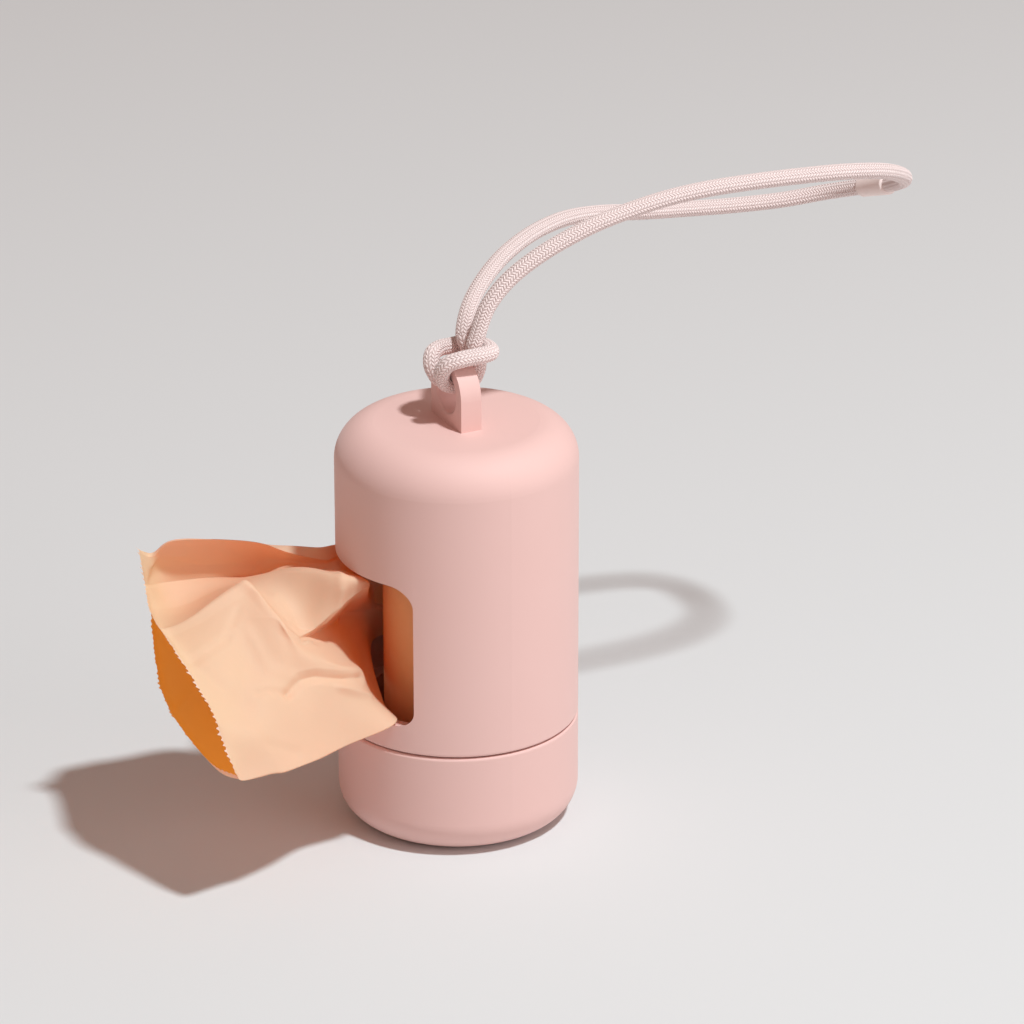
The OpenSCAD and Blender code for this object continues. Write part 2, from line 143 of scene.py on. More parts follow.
# %% Lay the floor
FLOOR_HALF = 6
FLOOR_DROP = 0.1 * MM
sheet = bmesh.new()
bmesh.ops.create_grid(sheet, x_segments=2, y_segments=2, size=FLOOR_HALF)
floor_mesh = bpy.data.meshes.new("floor")
sheet.to_mesh(floor_mesh)
sheet.free()
floor_mesh.materials.append(floor_mat)
floor = bpy.data.objects.new("floor", floor_mesh)
bpy.context.scene.collection.objects.link(floor)
floor.location.z = -FLOOR_DROP
print("the floor is", 2 * FLOOR_HALF, "m wide")

# %% [markdown]
# ## The light
#
# The shadows are short, soft at their edge and fall to the left. So one small round lamp hangs
# high over the dispenser, a little to the camera's right, and a much larger and weaker one at
# the right fills the side that the camera sees. A picture of a studio could light the scene as
# well, but two lamps are easier to move. The shade is warm, so the world is warm and the lamps
# are a little cool: together they leave the lit paper grey.

# %% Hang the lamps
def hang_lamp(name, towards, distance, size, energy, color):
    """A round lamp that looks at the dispenser from a direction."""
    towards = Vector(towards).normalized()
    lamp = bpy.data.lights.new(name, "AREA")
    lamp.shape = "DISK"
    lamp.size = size
    lamp.energy = energy
    lamp.color = color
    hung = bpy.data.objects.new(name, lamp)
    hung.location = AIM + distance * towards
    hung.rotation_euler = towards.to_track_quat("Z", "Y").to_euler()
    bpy.context.scene.collection.objects.link(hung)
    print(name, "lamp hangs", round(hung.location.z, 2), "m high")


hang_lamp("key", towards=(0.4455, 0.181, 1), distance=1.6, size=0.13, energy=22,
          color=(0.86, 0.965, 1))
hang_lamp("fill", towards=(0.85, 0.48, 0.3), distance=1.6, size=1.2, energy=5.5,
          color=(0.95, 0.96, 1))

# %% Light the world
SHADE, SHADE_STRENGTH = (1, 0.71, 0.61, 1), 0.33
world = bpy.data.worlds.new("studio")
bpy.context.scene.world = world
world.use_nodes = True
set_values(world.node_tree.nodes["Background"], Color=SHADE, Strength=SHADE_STRENGTH)
print("the world's strength is", SHADE_STRENGTH)

# %% [markdown]
# ## A swept tube
#
# The cord is a round braid, and both its free loop and its hitch follow a smooth curve through
# listed points. A curve object with a round bevel would be quicker, but its surface stays smooth,
# and this braid is to stand out as real shape. So a grid is bent round on itself, and its rows
# follow frames along the curve. Its UV map counts millimetres along the cord in U and goes once
# round it in V, so the braid follows the cord through every bend.

# %% Run a smooth line through points
CURVE_STEPS = 24


def running_lengths(line):
    """How far along a line each of its points lies."""
    return list(accumulate([0.0] + [(b - a).length for a, b in zip(line, line[1:])]))


def smooth_route(points, step, before=None, after=None):
    """Points at even steps on a smooth curve through a route, in metres. A route that goes on
    past its ends gives the next point there."""
    p = [Vector(q) for q in points]
    p = [before or 2 * p[0] - p[1]] + p + [after or 2 * p[-1] - p[-2]]
    fine = []
    for a, b, c, d in zip(p, p[1:], p[2:], p[3:]):
        for k in range(CURVE_STEPS):
            t = k / CURVE_STEPS
            fine.append(0.5 * (2 * b + (c - a) * t + (2 * a - 5 * b + 4 * c - d) * t * t
                               + (3 * b - a - 3 * c + d) * t ** 3))
    fine.append(p[-2])
    lengths = running_lengths(fine)
    count = round(lengths[-1] / step)
    even = []
    i = 0
    for k in range(count + 1):
        want = lengths[-1] * k / count
        while i < len(lengths) - 2 and lengths[i + 1] < want:
            i += 1
        share = (want - lengths[i]) / (lengths[i + 1] - lengths[i])
        even.append(fine[i].lerp(fine[i + 1], share))
    return even


two_points = [(0, 0, 0), (0, 0, 10 * MM)]
print("10 mm in steps of 1 mm have", len(smooth_route(two_points, MM)), "points")

# %% Carry a frame along a line
def frames_along(line, before=None, after=None):
    """One turning frame for each point: its side and its up direction, without twist."""
    ends = [before or line[0]] + line + [after or line[-1]]
    tangents = [(b - a).normalized() for a, b in zip(ends, ends[2:])]
    side = tangents[0].orthogonal().normalized()
    frames = []
    for tangent in tangents:
        side = (side - side.dot(tangent) * tangent).normalized()
        frames.append((side, tangent.cross(side)))
    return frames


first_side, first_up = frames_along(smooth_route(two_points, MM))[0]
print("side and up of an upright line:", [[round(v, 2) for v in w] for w in (first_side, first_up)])

# %% Bend a grid round on itself
SAME_PLACE = 1e-7


def bent_grid(around, along, place_at, uv_name, uv_at):
    """A grid bent round on itself into a tube. place_at and uv_at take a column and a row."""
    bm = bmesh.new()
    bmesh.ops.create_grid(bm, x_segments=around, y_segments=along, size=0.5)
    cells = {v: (round((v.co.x + 0.5) * around), round((v.co.y + 0.5) * along)) for v in bm.verts}
    uv = bm.loops.layers.uv.new(uv_name)
    for face in bm.faces:
        face.smooth = True
        for corner in face.loops:
            corner[uv].uv = uv_at(*cells[corner.vert])
    for v, (column, row) in cells.items():
        v.co = place_at(column % around, row)
    seam = [v for v, (column, _) in cells.items() if column in (0, around)]
    bmesh.ops.remove_doubles(bm, verts=seam, dist=SAME_PLACE)
    print("a tube of", around, "columns and", along, "rows")
    return bm


def finished(name, bm):
    """A piece made from a bmesh, at the origin."""
    bmesh.ops.recalc_face_normals(bm, faces=bm.faces)
    mesh = bpy.data.meshes.new(name)
    bm.to_mesh(mesh)
    bm.free()
    piece = bpy.data.objects.new(name, mesh)
    bpy.context.scene.collection.objects.link(piece)
    print(name, "has", len(mesh.polygons), "faces")
    return piece


# %% Sweep a closed tube
CORD_SIDES = 56


def swept_tube(name, line, radius_at, sides=CORD_SIDES, before=None, after=None):
    """A closed tube with a UV map, from points in metres. radius_at takes the length so far and
    the share of a turn round the tube."""
    frames = frames_along(line, before, after)
    lengths = running_lengths(line)

    def place_at(n, k):
        side, up = frames[k]
        angle = 2 * math.pi * n / sides
        outward = math.cos(angle) * side + math.sin(angle) * up
        return line[k] + radius_at(lengths[k], n / sides) * outward

    bm = bent_grid(sides, len(line) - 1, place_at,
                   "cord", lambda n, k: (lengths[k] / MM, n / sides))
    bmesh.ops.holes_fill(bm, edges=[e for e in bm.edges if e.is_boundary], sides=sides)
    print(name, "is", round(lengths[-1] / MM, 1), "mm long")
    return finished(name, bm)


# %% [markdown]
# ## The lanyard
#
# The lanyard is one length of braided cord whose ends are joined in a smooth sleeve. It is pushed
# through the lug's hole and turned over its own two strands as a hitch. A physics run could drape
# it, but this cord stands up by its own stiffness, so listed points hold its curve better.
# It comes back to the hitch, so its far end is the object. It keeps the points of the solid's
# route, counted in millimetres from the middle of the lug's hole.

# %% Lay the cord's route
LUG_HOLE = Vector((0, 0, 82.3))
STITCH = 0.6 * MM
LINE_STEP = STITCH / 4
LOOP_ROUTE = [
    (1.6, 3.4, 10.4), (1.8, 5.4, 15.6), (2.1, 9.2, 20), (2.8, 14.6, 23.8), (3.6, 21.2, 27),
    (4.4, 28, 29.4), (5.2, 38, 31.5), (5.7, 47, 32.3), (6.3, 57, 32.4), (6.5, 67, 32),
    (6.2, 76, 31.2), (4.2, 84.6, 29.3), (0.4, 90.8, 26.4), (-5.2, 94.8, 23), (-12.6, 96.2, 19.6),
    (-21.4, 95.4, 16.4), (-28.2, 91.6, 13.8), (-32, 84, 12.2), (-33.6, 74, 12.2), (-33.4, 64, 13.2),
    (-31.4, 53.4, 15), (-28.8, 44, 17.2), (-25.4, 35, 18.7), (-20.6, 26.4, 19.2),
    (-15.4, 18.6, 18.7), (-10.8, 12.4, 17.4), (-6.8, 7.2, 15), (-4, 4.2, 12.6), (-2.1, 2.6, 9.6),
]
HITCH_ROUTE = [
    (1.6, 3.4, 10.4), (1.5, 2.85, 8.6), (1.4, 3.1, 7.2), (1.4, 3.6, 5.8), (1.45, 3.65, 4),
    (1.45, 2.9, 2.3), (1.45, 1.2, 1.6), (1.45, -1.2, 1.6), (1.45, -2.9, 2.3), (1.7, -3.65, 3.8),
    (2.3, -3.75, 5.3), (3.2, -3, 6.8), (4, -1.2, 7.5), (4.25, 0.9, 7.7), (4.25, 3.1, 7.7),
    (3.3, 5.3, 7.6), (0.2, 6.1, 7.3), (-3.2, 5.3, 7.1), (-4.3, 3.1, 7), (-4.4, 0.9, 6.9),
    (-4.2, -1.2, 6.9), (-3.3, -3, 6.5), (-2.3, -3.75, 5.1), (-1.7, -3.65, 3.7),
    (-1.45, -2.9, 2.3), (-1.45, -1.2, 1.6), (-1.45, 1.2, 1.6), (-1.45, 2.9, 2.3),
    (-1.45, 3.65, 4), (-1.4, 3.6, 5.8), (-1.45, 3.05, 7.4), (-2.1, 2.6, 9.6),
]


def placed(route):
    """A route's points in metres, where they stand over the base."""
    return [(Vector(p) + LUG_HOLE) * MM for p in route]


# The two pieces run on into each other, so each knows the next point of the other.
loop_ends = dict(before=placed(HITCH_ROUTE)[1], after=placed(HITCH_ROUTE)[-2])
hitch_ends = dict(before=placed(LOOP_ROUTE)[1], after=placed(LOOP_ROUTE)[-2])
loop_line = smooth_route(placed(LOOP_ROUTE), LINE_STEP, **loop_ends)
hitch_line = smooth_route(placed(HITCH_ROUTE), LINE_STEP, **hitch_ends)
print("points on the loop and on the hitch:", len(loop_line), len(hitch_line))

# %% Raise the braid's stitches
CORD_R = 1.5 * MM
BRAID_ROWS = 14
STITCH_LEAN = 0.75
STITCH_RELIEF = 0.06 * MM
STITCH_MIDDLE = 0.8
ACROSS_POWER, STITCH_POWER = 0.45, 0.7


def stitch_at(s, turn):
    """How high a stitch of the braid stands at a place: 0 in a gap and 1 on its back."""
    row, across = divmod(turn * BRAID_ROWS, 1)
    lean = 1 if row % 2 else -1
    phase = (s / STITCH + lean * STITCH_LEAN * across) % 1
    bulge = math.sin(math.pi * phase) * math.sin(math.pi * across) ** ACROSS_POWER
    return bulge ** STITCH_POWER


def raised(radius, stitch):
    """The cord's radius where a stitch stands at a height from 0 to 1."""
    return radius + STITCH_RELIEF * (stitch - STITCH_MIDDLE)


thin, thick = (2 * raised(CORD_R, stitch) / MM for stitch in (0, 1))
print(f"the cord is {thin:.2f} mm thick in its gaps and {thick:.2f} mm on its stitches")

# %% Sweep the free loop
loop = swept_tube("cord_loop", loop_line, lambda s, turn: raised(CORD_R, stitch_at(s, turn)),
                  before=hitch_line[1], after=hitch_line[-2])

# %% Sweep the hitch, squeezed where it goes through the lug
HITCH_R = 1.3 * MM
HOLE_REACH, REACH_EASE = 4.6, 1.2
HOLE_TOP, TOP_EASE = 5, 1.5


def in_the_hole(s):
    """1 where the hitch is squeezed in the lug's hole, 0 where it is free."""
    point = hitch_line[min(len(hitch_line) - 1, round(s / LINE_STEP))] / MM - LUG_HOLE
    near = max(0.0, min(1.0, (HOLE_REACH - abs(point.y)) / REACH_EASE))
    low = max(0.0, min(1.0, (HOLE_TOP - point.z) / TOP_EASE))
    return near * low


def hitch_radius(s, turn):
    """The hitch's radius, with its stitches."""
    return raised(CORD_R + (HITCH_R - CORD_R) * in_the_hole(s), stitch_at(s, turn))


hitch = swept_tube("cord_hitch", hitch_line, hitch_radius,
                   before=loop_line[1], after=loop_line[-2])

# %% Slip on the sleeve, where the loop's route is nearly straight
SLEEVE_R = 1.95 * MM
SLEEVE_AT = 14
SLEEVE_LENGTH = 9 * MM
SLEEVE_STEP, SLEEVE_EDGE = 0.15 * MM, 0.35 * MM
SLEEVE_SIDES = 32
EVERY_FOURTH = 4
a, b = placed(LOOP_ROUTE)[SLEEVE_AT:SLEEVE_AT + 2]
middle = min(range(len(loop_line)), key=lambda k: (loop_line[k] - (a + b) / 2).length)
half = round(SLEEVE_LENGTH / 2 / LINE_STEP)
sleeve_line = smooth_route(loop_line[middle - half:middle + half + 1:EVERY_FOURTH], SLEEVE_STEP)


def sleeve_radius(s, turn):
    """The sleeve's radius. Its ends are rounded down on to the cord."""
    total = SLEEVE_STEP * (len(sleeve_line) - 1)
    edge = min(1.0, min(s, total - s) / SLEEVE_EDGE)
    return CORD_R + (SLEEVE_R - CORD_R) * math.sqrt(max(0.0, 1 - (1 - edge) ** 2))


sleeve = swept_tube("cord_sleeve", sleeve_line, sleeve_radius, sides=SLEEVE_SIDES)

# %% Say what the cord's pieces are
for piece, solid, slot in ((loop, "lanyard_loop", "braided_cord"),
                           (hitch, "lanyard_hitch", "braided_cord"),
                           (sleeve, "lanyard_sleeve", "joining_sleeve")):
    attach(piece, "lanyard")
    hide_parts(solid)
loop_length = running_lengths(loop_line)[-1]
print("the free loop is", round(loop_length / MM, 1), "mm long")

# %% [markdown]
# ## Shared effects
#
# Several finishes of the dispenser share an effect: both of the cord's pieces are braided, the
# moulded ones have a fine grain, and the roll and the drawn bag crinkle. The nodes could be built
# again in each material, but then a change has to be made in each. So an effect is a node group
# with named inputs, built once and placed in each material with its own values.

# %% Helpers for single nodes
# A Mix node keeps its colour sockets at these places.
MIX_FACTOR, MIX_A, MIX_B, MIX_RESULT = 0, 6, 7, 2


def feed(tree, socket, value):
    """Link a socket to another, or set its value. Three numbers are an opaque colour."""
    if isinstance(value, bpy.types.NodeSocket):
        tree.links.new(value, socket)
    elif isinstance(value, tuple):
        socket.default_value = (*value, 1)
    else:
        socket.default_value = value


def math_node(tree, operation, *values):
    """A Math node. A value is a number or a socket."""
    made = node(tree, "ShaderNodeMath", operation=operation)
    for socket, value in zip(made.inputs, values):
        feed(tree, socket, value)
    return made.outputs[0]


def mix_color(tree, factor, a, b):
    """A colour mix. A colour is three numbers or a socket."""
    made = node(tree, "ShaderNodeMix", data_type="RGBA")
    for place, value in ((MIX_FACTOR, factor), (MIX_A, a), (MIX_B, b)):
        feed(tree, made.inputs[place], value)
    return made.outputs[MIX_RESULT]


def bump_from(tree, height, shader, strength, depth):
    """Let a height tilt a shader's surface. It gives the new normal."""
    bump = node(tree, "ShaderNodeBump", Strength=strength, Distance=depth)
    tree.links.new(height, bump.inputs["Height"])
    tree.links.new(bump.outputs[0], shader.inputs["Normal"])
    return bump.outputs[0]


# %% Helpers for node groups
def group(name, inputs, outputs):
    """An empty node group. Inputs and outputs are names with a socket kind, inputs with a value."""
    made = bpy.data.node_groups.new(name, "ShaderNodeTree")
    for label, kind, value in inputs:
        socket = made.interface.new_socket(label, in_out="INPUT", socket_type=kind)
        if value is not None:
            socket.default_value = value
    for label, kind in outputs:
        made.interface.new_socket(label, in_out="OUTPUT", socket_type=kind)
    print("group", name, "puts out", [label for label, _ in outputs])
    return made, node(made, "NodeGroupInput"), node(made, "NodeGroupOutput")


def use_group(tree, made, **values):
    """Place a group in a tree. A value is a number, a colour or a socket."""
    placed_group = node(tree, "ShaderNodeGroup", node_tree=made)
    for label, value in values.items():
        feed(tree, placed_group.inputs[label.replace("_", " ")], value)
    return placed_group


# %% [markdown]
# ## The braid's finish
#
# The cord is plaited from many small strands, which show as rows of slanted stitches. Neighbouring
# rows slant opposite ways and make small V shapes. A picture of a braid would have to be fitted to
# the cord's length, so the pattern is worked out from the UV map: the row is the whole part of V
# times the number of rows, and the stitch is a wave along U whose phase slides across the row.
# The gaps between the stitches are darker, because less light gets in.

# %% Build the braid
SHADE_POWER = 0.5
braid, at, out = group(
    "braid_stitches",
    [("Along", "NodeSocketVector", None), ("Rows", "NodeSocketFloat", BRAID_ROWS),
     ("Stitch mm", "NodeSocketFloat", STITCH / MM)],
    [("Height", "NodeSocketFloat"), ("Shade", "NodeSocketFloat")])
split = node(braid, "ShaderNodeSeparateXYZ")
braid.links.new(at.outputs["Along"], split.inputs[0])
across = math_node(braid, "MULTIPLY", split.outputs["Y"], at.outputs["Rows"])
row = math_node(braid, "FLOOR", across)
inside = math_node(braid, "FRACT", across)
odd = math_node(braid, "MODULO", row, 2)
lean = math_node(braid, "MULTIPLY_ADD", odd, 2, -1)
slide = math_node(braid, "MULTIPLY", math_node(braid, "MULTIPLY", inside, lean), STITCH_LEAN)
steps = math_node(braid, "DIVIDE", split.outputs["X"], at.outputs["Stitch mm"])
phase = math_node(braid, "FRACT", math_node(braid, "ADD", steps, slide))
bulge = math_node(braid, "SINE", math_node(braid, "MULTIPLY", phase, math.pi))
width = math_node(braid, "SINE", math_node(braid, "MULTIPLY", inside, math.pi))
body = math_node(braid, "MULTIPLY", bulge, math_node(braid, "POWER", width, ACROSS_POWER))
braid.links.new(math_node(braid, "POWER", body, STITCH_POWER), out.inputs["Height"])
braid.links.new(math_node(braid, "POWER", body, SHADE_POWER), out.inputs["Shade"])

# %% Dress the cord
CORD_GAP, CORD_BACK = (0.90, 0.665, 0.63), (0.95, 0.79, 0.76)
cord_mat, tree, shader, _ = material("braided_cord", (0.86, 0.66, 0.62), Roughness=0.62,
                                     Sheen_Weight=0.35, Sheen_Roughness=0.4)
coords = node(tree, "ShaderNodeUVMap", uv_map="cord")
stitches = use_group(tree, braid, Along=coords.outputs[0])
cord_color = mix_color(tree, stitches.outputs["Shade"], CORD_GAP, CORD_BACK)
tree.links.new(cord_color, shader.inputs["Base Color"])
bump_from(tree, stitches.outputs["Height"], shader, strength=0.9, depth=0.22 * MM)
for piece in (loop, hitch):
    piece.data.materials.append(cord_mat)

# %% [markdown]
# ## The mouldings' finish
#
# Casing and cap are moulded in a soft-touch plastic of the same pink: matt, with a very fine
# grain, and never quite even in colour or gloss. Paint in a picture would need a UV map and show
# its seams. Noise on the object's own coordinates has none, so fine noise makes the grain and a
# slow cloud of it shifts colour and gloss. The cord's sleeve, the seal ring and the roll's core
# take the same group with other values.

# %% Build the moulded grain
PER_METRE = 1000
MIX_SPAN, MIX_LEAST = 0.8, 0.1
SPECK_ROUGH, CLOUD_ROUGH, LEAST_ROUGH = 0.12, 0.08, 0.56
grain, at, out = group(
    "moulded_grain",
    [("Place", "NodeSocketVector", None), ("Pale", "NodeSocketColor", (0.8, 0.5, 0.5, 1)),
     ("Deep", "NodeSocketColor", (0.7, 0.4, 0.4, 1)), ("Grain per mm", "NodeSocketFloat", 6.0),
     ("Relief", "NodeSocketFloat", 0.5)],
    [("Color", "NodeSocketColor"), ("Roughness", "NodeSocketFloat"), ("Height", "NodeSocketFloat")])
scale = math_node(grain, "MULTIPLY", at.outputs["Grain per mm"], PER_METRE)
fine = node(grain, "ShaderNodeTexNoise", Detail=3, Roughness=0.6)
grain.links.new(at.outputs["Place"], fine.inputs["Vector"])
grain.links.new(scale, fine.inputs["Scale"])
cloud = node(grain, "ShaderNodeTexNoise", Scale=45, Detail=4, Roughness=0.55)
grain.links.new(at.outputs["Place"], cloud.inputs["Vector"])
flow = math_node(grain, "MULTIPLY_ADD", cloud.outputs[0], MIX_SPAN, MIX_LEAST)
speck = math_node(grain, "MULTIPLY_ADD", fine.outputs[0], SPECK_ROUGH, LEAST_ROUGH)
for value, label in (
        (mix_color(grain, flow, at.outputs["Pale"], at.outputs["Deep"]), "Color"),
        (math_node(grain, "MULTIPLY_ADD", cloud.outputs[0], CLOUD_ROUGH, speck), "Roughness"),
        (math_node(grain, "MULTIPLY", fine.outputs[0], at.outputs["Relief"]), "Height")):
    grain.links.new(value, out.inputs[label])

# %% Dress the casing, the cap, the ring and the sleeve
def moulded(name, pale, deep, relief=0.5, per_mm=6.0, **values):
    """Soft matt moulding with a fine grain."""
    mat, tree, shader, _ = material(name, pale, **values)
    place = node(tree, "ShaderNodeTexCoord").outputs["Object"]
    effect = use_group(tree, grain, Place=place, Pale=pale, Deep=deep, Grain_per_mm=per_mm,
                       Relief=relief)
    tree.links.new(effect.outputs["Color"], shader.inputs["Base Color"])
    tree.links.new(effect.outputs["Roughness"], shader.inputs["Roughness"])
    bump_from(tree, effect.outputs["Height"], shader, strength=0.35, depth=0.03 * MM)
    return mat


def dress(name, mat):
    """Give a solid its material."""
    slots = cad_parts[name].data.materials
    slots.clear()
    slots.append(mat)


PINK, DEEP_PINK = (0.835, 0.545, 0.50), (0.815, 0.52, 0.475)
dress("casing_shell", moulded("soft_touch_shell", PINK, DEEP_PINK, Sheen_Weight=0.12))
dress("base_cap", moulded("soft_touch_cap", PINK, DEEP_PINK, Sheen_Weight=0.12))
sleeve.data.materials.append(
    moulded("joining_sleeve", (0.95, 0.80, 0.765), (0.93, 0.77, 0.73), relief=0.2))
dress("cap_seal_ring",
      moulded("seal_rubber", (0.36, 0.15, 0.13), (0.32, 0.13, 0.11), relief=0.4, per_mm=3.0))

# %% [markdown]
# ## The film's crinkle and the roll
#
# Bag film is so thin that it keeps a dent from every touch. On the roll the laps lie close, so
# only these small dents show through the window. Modelling them one by one would take far more
# faces than they are worth, so wide noise gives the soft ones, and the edges in a pattern of cells
# give the sharp ones. The roll's core is bare cardboard.

# %% Build the film's crinkle
RIDGE_POWER, RIDGE_SHARE = 0.5, -0.3
crinkle, at, out = group(
    "film_crinkle",
    [("Place", "NodeSocketVector", None), ("Size mm", "NodeSocketFloat", 6.0),
     ("Sharpness", "NodeSocketFloat", 0.5)],
    [("Height", "NodeSocketFloat"), ("Thickness", "NodeSocketFloat")])
per_metre = math_node(crinkle, "DIVIDE", PER_METRE, at.outputs["Size mm"])
wide = node(crinkle, "ShaderNodeTexNoise", Detail=5, Roughness=0.62, Distortion=0.4)
ridges = node(crinkle, "ShaderNodeTexVoronoi", feature="DISTANCE_TO_EDGE", Randomness=1)
for texture in (wide, ridges):
    crinkle.links.new(at.outputs["Place"], texture.inputs["Vector"])
    crinkle.links.new(per_metre, texture.inputs["Scale"])
near = math_node(crinkle, "MINIMUM", ridges.outputs["Distance"], 1)
ridge = math_node(crinkle, "POWER", near, RIDGE_POWER)
sharp = math_node(crinkle, "MULTIPLY", ridge, at.outputs["Sharpness"])
height = math_node(crinkle, "MULTIPLY_ADD", sharp, RIDGE_SHARE, wide.outputs[0])
crinkle.links.new(height, out.inputs["Height"])
crinkle.links.new(wide.outputs[0], out.inputs["Thickness"])


# %% Dress the roll and its core
def crinkled(tree, thin, thick, size_mm, sharpness):
    """The crinkle's height, and a colour that runs from thin film to thick."""
    place = node(tree, "ShaderNodeTexCoord").outputs["Object"]
    effect = use_group(tree, crinkle, Place=place, Size_mm=size_mm, Sharpness=sharpness)
    return effect.outputs["Height"], mix_color(tree, effect.outputs["Thickness"], thin, thick)


CARD, DEEP_CARD = (0.42, 0.27, 0.15), (0.36, 0.22, 0.12)
ROLL_THIN, ROLL_THICK = (0.93, 0.42, 0.17), (0.98, 0.52, 0.26)
dress("roll_core", moulded("core_board", CARD, DEEP_CARD, relief=0.8, per_mm=4.0))
roll_mat, tree, shader, _ = material("wound_film", (0.90, 0.42, 0.16), Roughness=0.5)
height, tint = crinkled(tree, ROLL_THIN, ROLL_THICK, size_mm=9.0, sharpness=0.4)
tree.links.new(tint, shader.inputs["Base Color"])
bump_from(tree, height, shader, strength=0.6, depth=0.4 * MM)
dress("bag_roll", roll_mat)

# %% [markdown]
# ## The drawn bag
#
# The bag is a flat tube of very thin film, torn off along a perforation. Its mouth gapes to the
# left, its top fold has buckled in under an overhanging lip, and it gathers where it goes into
# the window. Cloth physics could crumple a tube, but never into just these folds. So a grid is
# bent round on itself, its columns round the tube and its rows along it, and each vertex is
# placed on a smooth surface through listed points. A fold is a column where the surface may turn
# a corner.

# %% Choose the points that the film goes through, in millimetres
# Round the tube: top, lip, two points down the dent to its valley, shelf, ridge, four down the
# front, the bottom fold and four up the back. Along it: from the torn mouth to the roll.
FILM = [
    [(-19, -52, 53), (-17, -55, 55.5), (-17, -54.5, 52), (-17, -54, 48.5), (-12, -55.5, 46.5),
     (-3, -58, 47.5), (4, -58, 46), (10, -56.5, 41.5), (15.5, -55.5, 37.5), (19, -55, 33),
     (22.5, -54, 27.5), (15, -56, 27.5), (-3, -56, 30.5), (-13.5, -54, 36.5), (-24, -50, 47.5)],
    [(-20, -50.5, 53), (-17.5, -52.5, 53.5), (-17.5, -53, 50.5), (-17.5, -53, 48),
     (-13.5, -53.5, 45), (-2, -56.5, 46), (4, -56, 44.5), (10, -55, 41), (15.5, -54.5, 37),
     (19, -53.5, 33), (22, -52.5, 26), (14.5, -54, 25.5), (-4, -53.5, 29.5), (-15, -52, 35.5),
     (-25, -48, 46.5)],
    [(-21, -47, 53.5), (-18, -48.5, 55.5), (-21, -49, 50), (-21.5, -48, 46), (-16, -47.5, 43.5),
     (-1.5, -51.5, 47.5), (5.5, -52, 44.5), (10.5, -50, 40.5), (14, -49.5, 36.5),
     (18.5, -48.5, 32.5), (20.5, -46.5, 25.5), (12, -47.5, 24.5), (-6, -48, 29), (-19, -45.5, 37),
     (-25.5, -43.5, 45)],
    [(-21, -40, 52.5), (-18, -41, 54.5), (-21.5, -39, 48.5), (-22, -39.5, 45), (-15, -39, 46),
     (-3, -41, 51.5), (3, -44, 47), (8.5, -44.5, 41), (13, -44.5, 37.5), (17, -44.5, 32),
     (20, -43.5, 25), (9, -41, 24), (-8, -41, 30), (-21, -37.5, 38), (-25.5, -37, 44.5)],
    [(-22, -30, 49.5), (-18, -31.5, 52), (-22, -29.5, 47), (-22, -31, 43.5), (-11, -33.5, 48.5),
     (2, -38, 48.5), (5, -38.5, 47.5), (9, -38, 42), (11, -37.5, 37.5), (14.5, -38, 32),
     (17.5, -37, 24.5), (6, -34.5, 24.5), (-10, -32.5, 31), (-21, -29.5, 39), (-25, -29, 44.5)],
    [(-19, -24.5, 49.5), (-16.5, -26, 49.5), (-18, -25, 47), (-16.5, -26, 46.5), (-3, -29, 51.5),
     (3, -31.5, 43), (6.5, -35, 43.5), (9, -33.5, 41), (10, -30.5, 37), (12, -31, 31.5),
     (13.5, -29, 24), (3, -27.5, 25), (-11, -25, 31.5), (-17, -24.5, 41.5), (-20.5, -24, 45.5)],
    [(-14, -21, 50.5), (-12.5, -20.5, 48.5), (-13, -20.5, 47.5), (-11.5, -20.5, 46.5),
     (3.5, -24.5, 52.5), (4, -25, 47), (-9, -20.5, 37.5), (5, -25.5, 37), (7, -23, 35),
     (9, -22.5, 30.5), (12.5, -18.5, 26), (1, -20.5, 26.5), (-11, -19.5, 31), (-14, -19.5, 40),
     (-14.5, -19, 46.5)],
    [(-14, -16.5, 50), (-13, -17, 48.5), (-13, -16.5, 47.5), (-11, -17.5, 46.5), (1, -18.5, 49.5),
     (2, -19, 48.5), (-11, -18, 38), (-7, -18, 34), (-3, -18, 31), (1, -17.5, 28.5),
     (4, -17, 26.5), (-4, -16.5, 27.5), (-12, -16, 31.5), (-14, -15.5, 38), (-14, -15.5, 45)],
    [(-14.25, -10.5, 46), (-14.19, -10.5, 44.5), (-14.13, -10.5, 42.5), (-14.09, -10.5, 41),
     (-14.06, -10.5, 39.5), (-14.05, -10.5, 38), (-14.06, -10.5, 36), (-14.09, -10.5, 34.5),
     (-14.13, -10.5, 33), (-14.19, -10.5, 31), (-14.25, -10.5, 29.5), (-14.37, -10.5, 33),
     (-14.44, -10.5, 36), (-14.44, -10.5, 39.5), (-14.37, -10.5, 42.5)],
    [(-14.25, -1, 46), (-14.19, -1, 44.5), (-14.13, -1, 42.5), (-14.09, -1, 41),
     (-14.06, -1, 39.5), (-14.05, -1, 38), (-14.06, -1, 36), (-14.09, -1, 34.5), (-14.13, -1, 33),
     (-14.19, -1, 31), (-14.25, -1, 29.5), (-14.37, -1, 33), (-14.44, -1, 36), (-14.44, -1, 39.5),
     (-14.37, -1, 42.5)],
]
# How sharply the surface may turn at each column
FOLD = [0, 0.9, 0, 0.9, 0.2, 0.9, 0.6, 0, 0, 0, 1, 0, 0, 0, 0]
columns, rows = len(FOLD), len(FILM) - 1
print("the film has", columns, "columns and", rows + 1, "rows of points")

# %% Run a smooth surface through the points
def curve_between(a, b, leave, arrive, t):
    """A point on a smooth curve from a to b, with its direction at either end."""
    return ((2 * t ** 3 - 3 * t * t + 1) * a + (t ** 3 - 2 * t * t + t) * leave
            + (3 * t * t - 2 * t ** 3) * b + (t ** 3 - t * t) * arrive)


